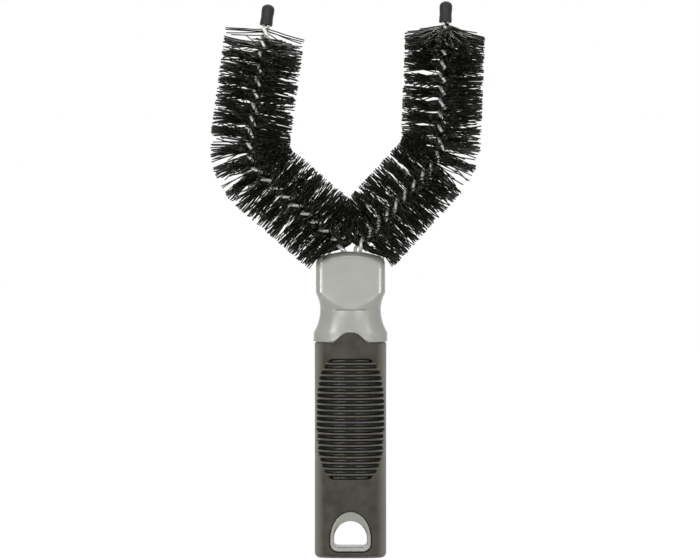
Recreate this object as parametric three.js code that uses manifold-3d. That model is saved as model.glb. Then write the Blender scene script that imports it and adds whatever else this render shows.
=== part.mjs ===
// Two-prong tire brush: a soft-grip handle that carries two bent twisted-wire brushes, one for each
// wall of a tire. Millimetres. +Z runs up from the handle's flat butt to the brush tips, -Y is the
// front, +X is the right seen from the front, and the origin is the centre of the butt.
import * as THREE from "three";
import { mergeVertices } from "three/addons/utils/BufferGeometryUtils.js";
import Module from "manifold-3d";

// Clearances
const FIT_GAP = 0.3; // between the core and what it holds or carries, and between a cap and its stem
const TRAP_GAP = 0.2; // between a wire and the filaments that it traps
const STRAND_GAP = 0.4; // from a strand to the middle plane between the brushes
const HEAD_GAP = 0.8; // from a strand to the head

// Grip: the rubber sleeve and the spine inside it
const GRIP_LENGTH = 99.2; // butt to the seam, at the handle's sides
const GRIP_WIDTH = 33;
const GRIP_WALL = 2.6;
const GRIP_SQUARENESS = 2.2; // exponent of the oval section, 2 for an ellipse
const BUTT_DEPTH = 14;
const BUTT_ROUND = 2.7;
const BUTT_WALL = 3; // rubber under the end of the spine
const SWELL_HEIGHT = 58; // butt to the thickest part of the grip
const SWELL_DEPTH = 24;
const SEAM_DEPTH = 21.6;
const TONGUE_RISE = 4.2; // the grip's tongue above the seam
const TONGUE_WIDTH = 16.6;

// Grooves of the grip
const GROOVE_PITCH = 2.65;
const GROOVE_HEIGHT = 1.5;
const GROOVE_DEPTH = 1.3;
const PAD_BOTTOM = 37.9; // butt to the lowest groove
const PAD_TOP_MARGIN = 8.3; // highest groove to the seam
const PAD_END = 2.4; // last groove to the end of the oval that the grooves fill
const PAD_WIDTH = 31.2;
const PAD_SQUARENESS = 3.2;

// Hanging eye: a D with its straight side towards the butt
const EYE_HEIGHT = 9.15; // butt to the line where the D's arch begins
const EYE_WIDTH = 14.3;
const EYE_ARCH = 7.75;
const EYE_BASE = 4.05;
const EYE_CORNER = 1.6;
const EYE_RIM = 2.2;
const EYE_SILL = 1.4; // rim under the straight side
const EYE_BROW = 3; // how far the mouth of the eye flares up from its waist
const EYE_RECESS = 0.3; // rim below the rubber around it

// Neck and head
const NECK_LENGTH = 41.5; // seam to the crown of the head
const NECK_CURVE = 1.8; // exponent of the curves that leave the waist
const FLARE_LIP = 0.4; // how far the flare stands out past the grip
const FLARE_RISE = 4.3; // seam to the top of the flare
const WAIST_RISE = 14.8; // seam to the waist
const WAIST_WIDTH = 27.9;
const WAIST_DEPTH = 19.5;
const HEAD_RISE = 22.6; // seam to the straight sides of the head
const HEAD_WIDTH = 31.7;
const HEAD_DEPTH = 21.9; // before its two faces are cut flat
const HEAD_FACE_DEPTH = 19.6; // across the two flat faces
const HEAD_SQUARENESS = 6;
const CROWN_SAG = 1.9; // fall of the crown from the middle to the shoulders
const SHOULDER_ROUND = 3.9;
const SPINE_LAP = 2; // how far the spine runs into the neck above the tongue

// Stems: two wires twisted together, bent outward at the head and upright again at the elbow
const WIRE_DIAMETER = 1.6;
const TWIST_PITCH = 11.9;
const LEFT_TURN = 128.4; // degrees that the twist is turned at the end of the root bend
const RIGHT_TURN = 70.6;
const ROOT_BEND = 8;
const ROOT_DEPTH = 1.35; // crown to the start of the root bend
const ELBOW_BEND = 20;
const FOOT_BEND = 4.5;
const FOOT_DEPTH = 16; // crown to the foot that anchors the stem
const FOOT_COVER = 3; // plastic left beyond the foot
const SOCKET_WEB = 1.5; // plastic between the two sockets
const LEFT_SPLAY = 49.2; // degrees from upright, below the elbow
const LEFT_LEAN = -7.8; // degrees outward, above the elbow
const LEFT_RUN = 44.2; // straight length below the elbow
const LEFT_RISE = 62.8; // straight length above the elbow, to the crown of the cap
const RIGHT_SPLAY = 42.4; // degrees from upright, below the elbow
const RIGHT_LEAN = 2.1; // degrees outward, above the elbow
const RIGHT_RUN = 46.3; // straight length below the elbow
const RIGHT_RISE = 64.2; // straight length above the elbow, to the crown of the cap

// Bristles
const BRUSH_DIAMETER = 37.2;
const FILAMENTS_PER_STEM = 80; // each has a strand on both sides of its stem
const FILAMENT_THICKNESS = 0.5;
const FILAMENT_WIDTH = 0.6; // along the stem
const THREAD_RADIUS = 0.17; // the backing on the stem's axis that the filaments are fused to
const ELBOW_FILL = 0.8; // share of the elbow's radius that the strands inside it may fill
const BARE_ROOT = 1.2; // bare stem between the root bend and the first filament
const BARE_TIP = 1.6; // bare stem between the last filament and the cap

// Tip caps
const CAP_LENGTH = 9.8;
const CAP_WALL = 0.6;
const CAP_END = 1.6; // thickness of the closed end
const CAP_DOME = 2.2;

// Fineness of the solids
const OVAL_SEGMENTS = 24;
const GRIP_RINGS = 7;
const PAD_MARGIN_RINGS = 4; // on each side of the grooves
const NECK_RINGS = 4; // on each side of the waist
const ROUND_STEPS = 3;
const WAVE_STEPS = 12;
const ARCH_SEGMENTS = 8;
const TUBE_SIDES = 8;
const WIRE_SIDES = 5;
const THREAD_SIDES = 3;
const WIRE_STEPS_PER_TURN = 8;
const ROUTE_STEP = 2.5; // length of one step of a socket or a backing thread
const CURVE_DIVISIONS = 2000; // for measuring the length of a curve
const CAP_SEGMENTS = 14;
const CUT_MARGIN = 5; // how far a cutting shape runs past what it cuts
const MERGE_DISTANCE = 1e-4;

// Heights and sizes that follow from the driving dimensions
const HANDLE_LENGTH = GRIP_LENGTH + NECK_LENGTH;
const TONGUE_TOP = GRIP_LENGTH + TONGUE_RISE;
const GROOVE_COUNT = Math.round((GRIP_LENGTH - PAD_TOP_MARGIN - PAD_BOTTOM) / GROOVE_PITCH) + 1;
const PAD_TOP = PAD_BOTTOM + (GROOVE_COUNT - 1) * GROOVE_PITCH;
const FLARE_TOP = GRIP_LENGTH + FLARE_RISE;
const WAIST_HEIGHT = GRIP_LENGTH + WAIST_RISE;
const HEAD_BASE = GRIP_LENGTH + HEAD_RISE;
const FLARE_WIDTH = GRIP_WIDTH + 2 * FLARE_LIP;
const FLARE_DEPTH = SEAM_DEPTH + 2 * FLARE_LIP;
const SHOULDER_HEIGHT = HANDLE_LENGTH - CROWN_SAG - SHOULDER_ROUND;
const CROWN_HALF = HEAD_WIDTH / 2 - SHOULDER_ROUND;
const HALF_SPAN = Math.max(FLARE_WIDTH, HEAD_WIDTH) + CUT_MARGIN;
const WIRE_ORBIT = FILAMENT_THICKNESS / 2 + TRAP_GAP + WIRE_DIAMETER / 2;
const STEM_RADIUS = WIRE_ORBIT + WIRE_DIAMETER / 2;
const SOCKET_RADIUS = STEM_RADIUS + FIT_GAP;
const STEM_OFFSET = SOCKET_RADIUS + SOCKET_WEB / 2;

const wasm = await Module();
wasm.setup();

const silverPlastic = new THREE.MeshStandardMaterial({ color: 0xaeafaa, roughness: 0.45, metalness: 0.1 });
const greyRubber = new THREE.MeshStandardMaterial({ color: 0x52514b, roughness: 0.8, metalness: 0 });
const brightWire = new THREE.MeshStandardMaterial({ color: 0xc4c6c2, roughness: 0.3, metalness: 1 });
const blackNylon = new THREE.MeshStandardMaterial({ color: 0x1c1d1a, roughness: 0.5, metalness: 0 });
const darkVinyl = new THREE.MeshStandardMaterial({ color: 0x444541, roughness: 0.6, metalness: 0 });

function mergedPositions(geometry) {
  geometry.deleteAttribute("normal");
  geometry.deleteAttribute("uv");
  return mergeVertices(geometry, MERGE_DISTANCE);
}

function solidOf(geometry) {
  const merged = mergedPositions(geometry);
  const corners = merged.index.array;
  const triangles = [];
  for (let i = 0; i < corners.length; i += 3) {
    const [a, b, c] = corners.slice(i, i + 3);
    if (a !== b && b !== c && c !== a) triangles.push(a, b, c);
  }
  const mesh = new wasm.Mesh({
    numProp: 3,
    vertProperties: merged.attributes.position.array,
    triVerts: new Uint32Array(triangles),
  });
  return new wasm.Manifold(mesh);
}

function geometryOf(solid) {
  const mesh = solid.getMesh();
  const geometry = new THREE.BufferGeometry();
  geometry.setAttribute("position", new THREE.BufferAttribute(mesh.vertProperties, 3));
  geometry.setIndex(new THREE.BufferAttribute(mesh.triVerts, 1));
  geometry.computeVertexNormals();
  return geometry;
}

function namedMesh(name, geometry, material) {
  const mesh = new THREE.Mesh(geometry, material);
  mesh.name = name;
  return mesh;
}

// A closed outline drawn in X and Z, run from front to back through the whole handle
function throughHandle(shape, steps = 1) {
  const geometry = new THREE.ExtrudeGeometry(shape, {
    depth: 2 * HALF_SPAN,
    steps,
    bevelEnabled: false,
    curveSegments: ARCH_SEGMENTS,
  });
  return geometry.translate(0, 0, -HALF_SPAN).rotateX(Math.PI / 2);
}

// Sections of the handle at a height
function blend(from, to, share) {
  const between = {};
  for (const key of Object.keys(from)) between[key] = THREE.MathUtils.lerp(from[key], to[key], share);
  return between;
}

function gripSection(height) {
  const rising = THREE.MathUtils.smoothstep(height, 0, SWELL_HEIGHT);
  const falling = THREE.MathUtils.smoothstep(height, SWELL_HEIGHT, GRIP_LENGTH);
  const swell = THREE.MathUtils.lerp(BUTT_DEPTH, SWELL_DEPTH, rising);
  const depth = THREE.MathUtils.lerp(swell, SEAM_DEPTH, falling);
  return { width: GRIP_WIDTH, depth, squareness: GRIP_SQUARENESS };
}

function neckSection(height) {
  const flare = { width: FLARE_WIDTH, depth: FLARE_DEPTH, squareness: GRIP_SQUARENESS };
  const waist = { width: WAIST_WIDTH, depth: WAIST_DEPTH, squareness: GRIP_SQUARENESS };
  const head = { width: HEAD_WIDTH, depth: HEAD_DEPTH, squareness: HEAD_SQUARENESS };
  if (height < WAIST_HEIGHT) {
    const below = Math.min(1, (WAIST_HEIGHT - height) / (WAIST_HEIGHT - FLARE_TOP));
    return blend(waist, flare, below ** NECK_CURVE);
  }
  const above = Math.min(1, (height - WAIST_HEIGHT) / (HEAD_BASE - WAIST_HEIGHT));
  return blend(waist, head, above ** NECK_CURVE);
}

function shrunk(sectionAt, wall) {
  return (height) => {
    const section = sectionAt(height);
    return { ...section, width: section.width - 2 * wall, depth: section.depth - 2 * wall };
  };
}

// A round profile turned about Z and then stretched to the oval section of each height.
// Each ring is a height and the share of the section that it fills, which may be changed across the oval.
function ovalBody(rings, sectionAt, shareAt = (share) => share) {
  const profile = rings.map((ring) => new THREE.Vector2(ring.share, ring.height));
  const lathe = new THREE.LatheGeometry(profile, OVAL_SEGMENTS).rotateX(Math.PI / 2);
  const geometry = mergedPositions(lathe);
  const position = geometry.attributes.position;
  for (let i = 0; i < position.count; i += 1) {
    const height = position.getZ(i);
    const radius = Math.hypot(position.getX(i), position.getY(i));
    const section = sectionAt(height);
    const across = squaredOff(position.getX(i) / (radius || 1), section.squareness) * section.width / 2;
    const through = squaredOff(position.getY(i) / (radius || 1), section.squareness) * section.depth / 2;
    const share = shareAt(radius, across, height);
    position.setXYZ(i, share * across, share * through, height);
  }
  return solidOf(geometry);
}

// A sine or cosine pushed towards the sides of a squarer oval, with the noise next to zero left out
function squaredOff(value, squareness) {
  if (Math.abs(value) < MERGE_DISTANCE) return 0;
  return Math.sign(value) * Math.abs(value) ** (2 / squareness);
}

function evenRings(bottom, top, count) {
  const rings = [];
  for (let i = 0; i <= count; i += 1) {
    rings.push({ height: THREE.MathUtils.lerp(bottom, top, i / count), share: 1 });
  }
  return rings;
}

function closedRings(rings) {
  const first = { height: rings[0].height, share: 0 };
  const last = { height: rings[rings.length - 1].height, share: 0 };
  return [first, ...rings, last];
}

function buttRings() {
  const rings = [];
  for (let i = 0; i < ROUND_STEPS; i += 1) {
    const turn = (i / ROUND_STEPS) * (Math.PI / 2);
    const share = 1 - (BUTT_ROUND / (GRIP_WIDTH / 2)) * (1 - Math.sin(turn));
    rings.push({ height: BUTT_ROUND * (1 - Math.cos(turn)), share });
  }
  return rings;
}

function smoothGrip(inset) {
  const sides = evenRings(BUTT_ROUND, TONGUE_TOP + CUT_MARGIN, GRIP_RINGS);
  return ovalBody(closedRings([...buttRings(), ...sides]), shrunk(gripSection, inset));
}

// Half the width of the oval that the grooves fill, at a height
function padReach(height) {
  const along = Math.abs(height - (PAD_BOTTOM + PAD_TOP) / 2) / ((PAD_TOP - PAD_BOTTOM) / 2 + PAD_END);
  return (PAD_WIDTH / 2) * (1 - along ** PAD_SQUARENESS) ** (1 / PAD_SQUARENESS);
}

// The rings drop to the floor of each groove and come back, but only as far across as the oval reaches
function groovedGrip() {
  const floor = 1 - GROOVE_DEPTH / (SWELL_DEPTH / 2);
  const grooves = [];
  for (let i = 0; i < GROOVE_COUNT; i += 1) {
    const lower = PAD_BOTTOM + i * GROOVE_PITCH - GROOVE_HEIGHT / 2;
    const upper = lower + GROOVE_HEIGHT;
    grooves.push({ height: lower, share: 1 }, { height: lower, share: floor });
    grooves.push({ height: upper, share: floor }, { height: upper, share: 1 });
  }
  const below = evenRings(BUTT_ROUND, PAD_BOTTOM - GROOVE_PITCH, PAD_MARGIN_RINGS);
  const above = evenRings(PAD_TOP + GROOVE_PITCH, TONGUE_TOP + CUT_MARGIN, PAD_MARGIN_RINGS);
  const shareAt = (share, across, height) => {
    const onPad = height > BUTT_ROUND && Math.abs(across) < padReach(height);
    return height <= BUTT_ROUND || onPad || share === 0 ? share : 1;
  };
  return ovalBody(closedRings([...buttRings(), ...below, ...grooves, ...above]), gripSection, shareAt);
}

function spineBody(clearance) {
  const rings = evenRings(BUTT_WALL - clearance, TONGUE_TOP + SPINE_LAP, GRIP_RINGS);
  return ovalBody(closedRings(rings), shrunk(gripSection, GRIP_WALL - clearance));
}

// Height of the head's outline across its width: a shallow crown between two round shoulders
function headTop(across) {
  const beyond = Math.abs(across) - CROWN_HALF;
  if (beyond < 0) return HANDLE_LENGTH - CROWN_SAG * (across / CROWN_HALF) ** 2;
  return SHOULDER_HEIGHT + Math.sqrt(Math.max(0, SHOULDER_ROUND ** 2 - beyond ** 2));
}

function neckBody() {
  const half = HEAD_WIDTH / 2;
  const rings = [
    { height: GRIP_LENGTH - CUT_MARGIN, share: 1 },
    ...evenRings(FLARE_TOP, WAIST_HEIGHT, NECK_RINGS),
    ...evenRings(WAIST_HEIGHT, HEAD_BASE, NECK_RINGS).slice(1),
  ];
  for (let i = 0; i <= ROUND_STEPS; i += 1) {
    const across = CROWN_HALF + SHOULDER_ROUND * Math.cos((i / ROUND_STEPS) * (Math.PI / 2));
    rings.push({ height: headTop(across), share: across / half });
  }
  for (let i = 1; i <= ROUND_STEPS; i += 1) {
    const across = CROWN_HALF * (1 - i / ROUND_STEPS);
    rings.push({ height: headTop(across), share: across / half });
  }
  let neck = ovalBody([{ height: GRIP_LENGTH - CUT_MARGIN, share: 0 }, ...rings], neckSection);
  for (const face of [-1, 1]) {
    const slab = new THREE.BoxGeometry(2 * HALF_SPAN, HALF_SPAN, NECK_LENGTH);
    slab.translate(0, face * (HEAD_FACE_DEPTH + HALF_SPAN) / 2, WAIST_HEIGHT + NECK_LENGTH / 2);
    neck = neck.subtract(solidOf(slab));
  }
  return neck;
}

// Everything above the seam, which rises over the tongue in the middle
function aboveSeam(lift) {
  const shape = new THREE.Shape();
  shape.moveTo(-HALF_SPAN, GRIP_LENGTH + lift);
  for (let i = 0; i <= WAVE_STEPS; i += 1) {
    const across = (i / WAVE_STEPS - 0.5) * TONGUE_WIDTH;
    const rise = (TONGUE_RISE / 2) * (1 + Math.cos((2 * Math.PI * across) / TONGUE_WIDTH));
    shape.lineTo(across, GRIP_LENGTH + rise + lift);
  }
  shape.lineTo(HALF_SPAN, GRIP_LENGTH + lift);
  shape.lineTo(HALF_SPAN, HANDLE_LENGTH + CUT_MARGIN);
  shape.lineTo(-HALF_SPAN, HANDLE_LENGTH + CUT_MARGIN);
  shape.closePath();
  return solidOf(throughHandle(shape));
}

// The D of the hanging eye, grown outward for its rim
function eyeOutline(sides, sill, brow) {
  const half = EYE_WIDTH / 2 + sides;
  const bottom = EYE_HEIGHT - EYE_BASE - sill;
  const corner = EYE_CORNER + Math.min(sides, sill);
  const shape = new THREE.Shape();
  shape.moveTo(-half + corner, bottom);
  shape.lineTo(half - corner, bottom);
  shape.absarc(half - corner, bottom + corner, corner, -Math.PI / 2, 0, false);
  shape.lineTo(half, EYE_HEIGHT);
  shape.absellipse(0, EYE_HEIGHT, half, EYE_ARCH + brow, 0, Math.PI, false, 0);
  shape.lineTo(-half, bottom + corner);
  shape.absarc(-half + corner, bottom + corner, corner, Math.PI, 1.5 * Math.PI, false);
  return shape;
}

// The hole is narrowest half way through the handle and its arch flares up towards both mouths
function eyeHole() {
  const geometry = throughHandle(eyeOutline(0, 0, 0), 2);
  const mouth = BUTT_DEPTH / 2;
  const position = geometry.attributes.position;
  for (let i = 0; i < position.count; i += 1) {
    const up = Math.max(0, position.getZ(i) - EYE_HEIGHT);
    const flare = (EYE_BROW / EYE_ARCH) * (Math.abs(position.getY(i)) / mouth);
    position.setZ(i, position.getZ(i) + up * flare);
  }
  return solidOf(geometry);
}

// A flat route in the XZ plane, made of straight runs and bends and followed by its length.
// A heading is an angle from +Z towards +X.
class Route {
  constructor(x, z, heading) {
    this.end = { x, z, heading };
    this.length = 0;
    this.runs = [];
  }

  straight(length) {
    return this.add({ ...this.end, from: this.length, length, curve: 0 });
  }

  bend(radius, heading) {
    const turn = heading - this.end.heading;
    const length = radius * Math.abs(turn);
    return this.add({ ...this.end, from: this.length, length, curve: Math.sign(turn) / radius });
  }

  add(run) {
    this.runs.push(run);
    this.length += run.length;
    this.end = this.along(run, run.length);
    return this;
  }

  along(run, distance) {
    const heading = run.heading + run.curve * distance;
    if (run.curve === 0) {
      const x = run.x + distance * Math.sin(heading);
      return { x, z: run.z + distance * Math.cos(heading), heading };
    }
    const x = run.x + (Math.cos(run.heading) - Math.cos(heading)) / run.curve;
    return { x, z: run.z + (Math.sin(heading) - Math.sin(run.heading)) / run.curve, heading };
  }

  at(distance) {
    const run = this.runs.findLast((candidate) => candidate.from <= distance) ?? this.runs[0];
    return this.along(run, distance - run.from);
  }
}

// A line along the route, or one wire of the twist where it has an orbit. The twist is left-handed.
class RouteCurve extends THREE.Curve {
  constructor(route, from, to, orbit = 0, phase = 0) {
    super();
    this.arcLengthDivisions = CURVE_DIVISIONS;
    Object.assign(this, { route, from, to, orbit, phase });
  }

  getPoint(share, target = new THREE.Vector3()) {
    const distance = THREE.MathUtils.lerp(this.from, this.to, share);
    const { x, z, heading } = this.route.at(distance);
    const side = this.orbit * Math.cos(twistAngle(distance, this.phase));
    const back = this.orbit * Math.sin(twistAngle(distance, this.phase));
    return target.set(x + side * Math.cos(heading), back, z - side * Math.sin(heading));
  }
}

function twistAngle(distance, phase) {
  return phase - (2 * Math.PI * distance) / TWIST_PITCH;
}

function roundShape(radius, sides) {
  const points = [];
  for (let i = 0; i < sides; i += 1) {
    const angle = (2 * Math.PI * i) / sides;
    points.push(new THREE.Vector2(radius * Math.cos(angle), radius * Math.sin(angle)));
  }
  return new THREE.Shape(points);
}

function tube(curve, radius, sides, steps) {
  const options = { extrudePath: curve, steps, bevelEnabled: false };
  return new THREE.ExtrudeGeometry(roundShape(radius, sides), options);
}

// One stem from its foot inside the head to the crown of its cap. The side is -1 for left and 1 for right.
function stemOf({ side, splay, lean, run, rise, turn }) {
  const degrees = side * THREE.MathUtils.DEG2RAD;
  const footTip = HEAD_WIDTH / 2 - FOOT_COVER;
  const footHeight = HANDLE_LENGTH - FOOT_DEPTH;
  const route = new Route(side * footTip, footHeight, -side * Math.PI / 2);
  route.straight(footTip - STEM_OFFSET - FOOT_BEND);
  route.bend(FOOT_BEND, 0);
  route.straight(FOOT_DEPTH - FOOT_BEND - ROOT_DEPTH);
  route.bend(ROOT_BEND, splay * degrees);
  const rootEnd = route.length;
  route.straight(run);
  const elbowStart = route.length;
  route.bend(ELBOW_BEND, lean * degrees);
  const elbowEnd = route.length;
  route.straight(rise);
  const tip = route.length - CAP_END - FIT_GAP;
  const mouth = route.length - CAP_LENGTH;
  const phase = turn * THREE.MathUtils.DEG2RAD + (2 * Math.PI * rootEnd) / TWIST_PITCH;
  return { side, route, rootEnd, elbowStart, elbowEnd, tip, mouth, phase };
}

function wires(stem, name) {
  const turns = stem.tip / TWIST_PITCH;
  return ["a", "b"].map((letter, i) => {
    const curve = new RouteCurve(stem.route, 0, stem.tip, WIRE_ORBIT, stem.phase + i * Math.PI);
    const geometry = tube(curve, WIRE_DIAMETER / 2, WIRE_SIDES, Math.ceil(turns * WIRE_STEPS_PER_TURN));
    return namedMesh(`${name}_stem_wire_${letter}`, geometry, brightWire);
  });
}

function socket(stem) {
  const end = stem.rootEnd + CUT_MARGIN;
  const curve = new RouteCurve(stem.route, -FIT_GAP, end);
  return solidOf(tube(curve, SOCKET_RADIUS, TUBE_SIDES, Math.ceil(end / ROUTE_STEP)));
}

// How far a strand could run before it comes close to the head
function roomAboveHead(start, direction) {
  for (let reach = 0; reach < BRUSH_DIAMETER / 2; reach += STRAND_GAP / 2) {
    const point = start.clone().addScaledVector(direction, reach);
    const besideHead = Math.abs(point.x) > HEAD_WIDTH / 2 + HEAD_GAP;
    const clearOfFaces = Math.abs(point.y) > HEAD_DEPTH / 2 + HEAD_GAP;
    if (!besideHead && !clearOfFaces && point.z < headTop(point.x) + HEAD_GAP) return reach;
  }
  return BRUSH_DIAMETER / 2;
}

// How far a strand runs out before it would meet the head, the other brush or the strands across the elbow
function strandReach(stem, distance, start, direction) {
  let reach = roomAboveHead(start, direction);
  const inward = -stem.side * direction.x;
  if (inward > 0) reach = Math.min(reach, (Math.abs(start.x) - STRAND_GAP) / inward);
  const elbow = (stem.elbowStart + stem.elbowEnd) / 2;
  const { x, z, heading } = stem.route.at(elbow);
  const centre = new THREE.Vector3(x - stem.side * ELBOW_BEND * Math.cos(heading), 0,
    z + stem.side * ELBOW_BEND * Math.sin(heading));
  if (distance > stem.elbowStart && distance < stem.elbowEnd) {
    const closing = direction.dot(centre.clone().sub(start).normalize());
    if (closing > 0) reach = Math.min(reach, (ELBOW_FILL * ELBOW_BEND) / closing);
    return reach;
  }
  const ahead = new THREE.Vector3(Math.sin(heading), 0, Math.cos(heading));
  ahead.multiplyScalar(Math.sign(elbow - distance));
  const room = centre.sub(start).dot(ahead) - STRAND_GAP;
  const closing = direction.dot(ahead);
  return closing > 0 ? Math.min(reach, room / closing) : reach;
}

// One straight filament through the stem, with a strand on each side of it
function filament(stem, distance) {
  const { x, z, heading } = stem.route.at(distance);
  const angle = twistAngle(distance, stem.phase + Math.PI / 2);
  const start = new THREE.Vector3(x, 0, z);
  const tangent = new THREE.Vector3(Math.sin(heading), 0, Math.cos(heading));
  const side = Math.cos(angle);
  const direction = new THREE.Vector3(side * Math.cos(heading), Math.sin(angle), -side * Math.sin(heading));
  const ahead = strandReach(stem, distance, start, direction);
  const behind = strandReach(stem, distance, start, direction.clone().negate());
  const geometry = new THREE.BoxGeometry(FILAMENT_THICKNESS, ahead + behind, FILAMENT_WIDTH);
  const pose = new THREE.Matrix4().makeBasis(direction.clone().cross(tangent), direction, tangent);
  pose.setPosition(start.addScaledVector(direction, (ahead - behind) / 2));
  return solidOf(geometry.applyMatrix4(pose));
}

function bristles(stem, name, from, to, first, last) {
  const steps = Math.ceil((to - from) / ROUTE_STEP);
  const thread = new RouteCurve(stem.route, from, to);
  let brush = solidOf(tube(thread, THREAD_RADIUS, THREAD_SIDES, steps));
  for (const distance of filamentPlaces(stem)) {
    if (distance > first && distance < last) brush = brush.add(filament(stem, distance));
  }
  return namedMesh(name, geometryOf(brush), blackNylon);
}

function filamentPlaces(stem) {
  const from = stem.rootEnd + BARE_ROOT;
  const to = stem.mouth - BARE_TIP;
  const step = (to - from) / FILAMENTS_PER_STEM;
  return Array.from({ length: FILAMENTS_PER_STEM }, (_, i) => from + (i + 0.5) * step);
}

function bristleRuns(stem, name) {
  const from = stem.rootEnd + BARE_ROOT;
  const to = stem.mouth - BARE_TIP;
  const elbow = (stem.elbowStart + stem.elbowEnd) / 2;
  return [
    bristles(stem, `${name}_lower_bristles`, from, elbow - FIT_GAP, from, elbow),
    bristles(stem, `${name}_upper_bristles`, elbow + FIT_GAP, to, elbow, to),
  ];
}

function tipCap(stem, name) {
  const bore = STEM_RADIUS + FIT_GAP;
  const radius = bore + CAP_WALL;
  const profile = [new THREE.Vector2(0, -CAP_END), new THREE.Vector2(bore, -CAP_END)];
  profile.push(new THREE.Vector2(bore, -CAP_LENGTH), new THREE.Vector2(radius, -CAP_LENGTH));
  for (let i = 0; i <= ROUND_STEPS; i += 1) {
    const turn = (i / ROUND_STEPS) * (Math.PI / 2);
    profile.push(new THREE.Vector2(radius * Math.cos(turn), CAP_DOME * (Math.sin(turn) - 1)));
  }
  const geometry = new THREE.LatheGeometry(profile, CAP_SEGMENTS).rotateX(Math.PI / 2);
  const { x, z, heading } = stem.route.end;
  const holder = new THREE.Group();
  holder.position.set(x, 0, z);
  holder.rotation.y = heading;
  holder.add(namedMesh(`${name}_tip_cap`, geometryOf(solidOf(geometry)), darkVinyl));
  return holder;
}

function handleCore(stems) {
  const rim = solidOf(throughHandle(eyeOutline(EYE_RIM, EYE_SILL, EYE_BROW + EYE_RIM)));
  let core = neckBody().intersect(aboveSeam(FIT_GAP / 2)).add(spineBody(0));
  core = core.add(rim.intersect(smoothGrip(EYE_RECESS))).subtract(eyeHole());
  for (const stem of stems) core = core.subtract(socket(stem));
  return namedMesh("handle_core", geometryOf(core), silverPlastic);
}

function gripSleeve() {
  const rimHole = eyeOutline(EYE_RIM + FIT_GAP, EYE_SILL + FIT_GAP, EYE_BROW + EYE_RIM + FIT_GAP);
  const outside = groovedGrip().subtract(aboveSeam(-FIT_GAP / 2));
  const sleeve = outside.subtract(spineBody(FIT_GAP)).subtract(solidOf(throughHandle(rimHole)));
  return namedMesh("grip_sleeve", geometryOf(sleeve), greyRubber);
}

const leftStem = stemOf({
  side: -1, splay: LEFT_SPLAY, lean: LEFT_LEAN, run: LEFT_RUN, rise: LEFT_RISE, turn: LEFT_TURN,
});
const rightStem = stemOf({
  side: 1, splay: RIGHT_SPLAY, lean: RIGHT_LEAN, run: RIGHT_RUN, rise: RIGHT_RISE, turn: RIGHT_TURN,
});

const tireBrush = new THREE.Group();
tireBrush.name = "tire_brush";
tireBrush.add(handleCore([leftStem, rightStem]), gripSleeve());
for (const [name, stem] of [["left", leftStem], ["right", rightStem]]) {
  const prong = new THREE.Group();
  prong.add(...wires(stem, name), ...bristleRuns(stem, name), tipCap(stem, name));
  tireBrush.add(prong);
}

export default tireBrush;
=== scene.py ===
import math
import random

import bmesh
import bpy
from mathutils import Matrix, Vector


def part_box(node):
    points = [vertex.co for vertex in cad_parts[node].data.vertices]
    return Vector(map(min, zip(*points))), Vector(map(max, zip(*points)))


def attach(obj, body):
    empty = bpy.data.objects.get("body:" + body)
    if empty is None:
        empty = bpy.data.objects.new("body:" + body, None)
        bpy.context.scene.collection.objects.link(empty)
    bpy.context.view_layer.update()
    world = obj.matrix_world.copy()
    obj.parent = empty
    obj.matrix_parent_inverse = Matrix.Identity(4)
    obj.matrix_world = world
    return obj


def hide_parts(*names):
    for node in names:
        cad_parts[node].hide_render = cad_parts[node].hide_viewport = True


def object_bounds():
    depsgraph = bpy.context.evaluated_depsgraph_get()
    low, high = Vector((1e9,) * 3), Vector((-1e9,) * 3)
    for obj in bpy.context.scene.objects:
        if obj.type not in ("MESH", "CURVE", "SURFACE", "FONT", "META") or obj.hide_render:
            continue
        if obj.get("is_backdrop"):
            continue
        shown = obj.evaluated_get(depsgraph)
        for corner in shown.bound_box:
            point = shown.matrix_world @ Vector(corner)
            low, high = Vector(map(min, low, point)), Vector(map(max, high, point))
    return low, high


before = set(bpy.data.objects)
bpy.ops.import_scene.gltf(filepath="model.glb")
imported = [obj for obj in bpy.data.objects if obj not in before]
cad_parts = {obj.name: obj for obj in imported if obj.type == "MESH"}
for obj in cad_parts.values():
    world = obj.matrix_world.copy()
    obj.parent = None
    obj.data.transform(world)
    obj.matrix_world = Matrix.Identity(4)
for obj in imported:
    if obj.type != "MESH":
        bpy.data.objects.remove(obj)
cad_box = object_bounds()

MM = 0.001  # the scene is in metres, and every size below is in millimetres, apart from the lamps

# Sizes that the frame gives
grip_low, grip_high = (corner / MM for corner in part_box("grip_sleeve"))
core_low, core_high = (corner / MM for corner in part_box("handle_core"))
cad_low, cad_high = (corner / MM for corner in cad_box)
GRIP_WIDTH = grip_high.x - grip_low.x
SWELL_DEPTH = grip_high.y - grip_low.y
HANDLE_LENGTH = core_high.z
FLARE_WIDTH = core_high.x - core_low.x

# Clearance between the core and the rubber
GAP = 0.3

# Grip
GRIP_LENGTH = 99.2  # butt to the seam, at the handle's sides
GRIP_WALL = 2.6
GRIP_SQUARENESS = 2.2  # exponent of the oval section, 2 for an ellipse
BUTT_DEPTH = 14
BUTT_SQUARENESS = 2.8
BUTT_RISE = 36  # height by which the butt's section has changed into the grip's
BUTT_ROUND = 2.7
BUTT_ROUND_DEPTH = 5.5  # how far the butt's rounding reaches in from the front
BUTT_WALL = 3
SWELL_HEIGHT = 58
SEAM_DEPTH = 21.6
TONGUE_RISE = 4.4
TONGUE_TOP = 3.1  # width of its level top
TONGUE_WIDTH = 17.5
RUBBER_EDGE = 0.25  # rounding of the rubber's upper edge
SEAM_GAP = 0.62  # open line between the rubber and the lip over it
SEAM_STEP = 0.5  # how far in the rubber steps up again behind the open line

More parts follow.
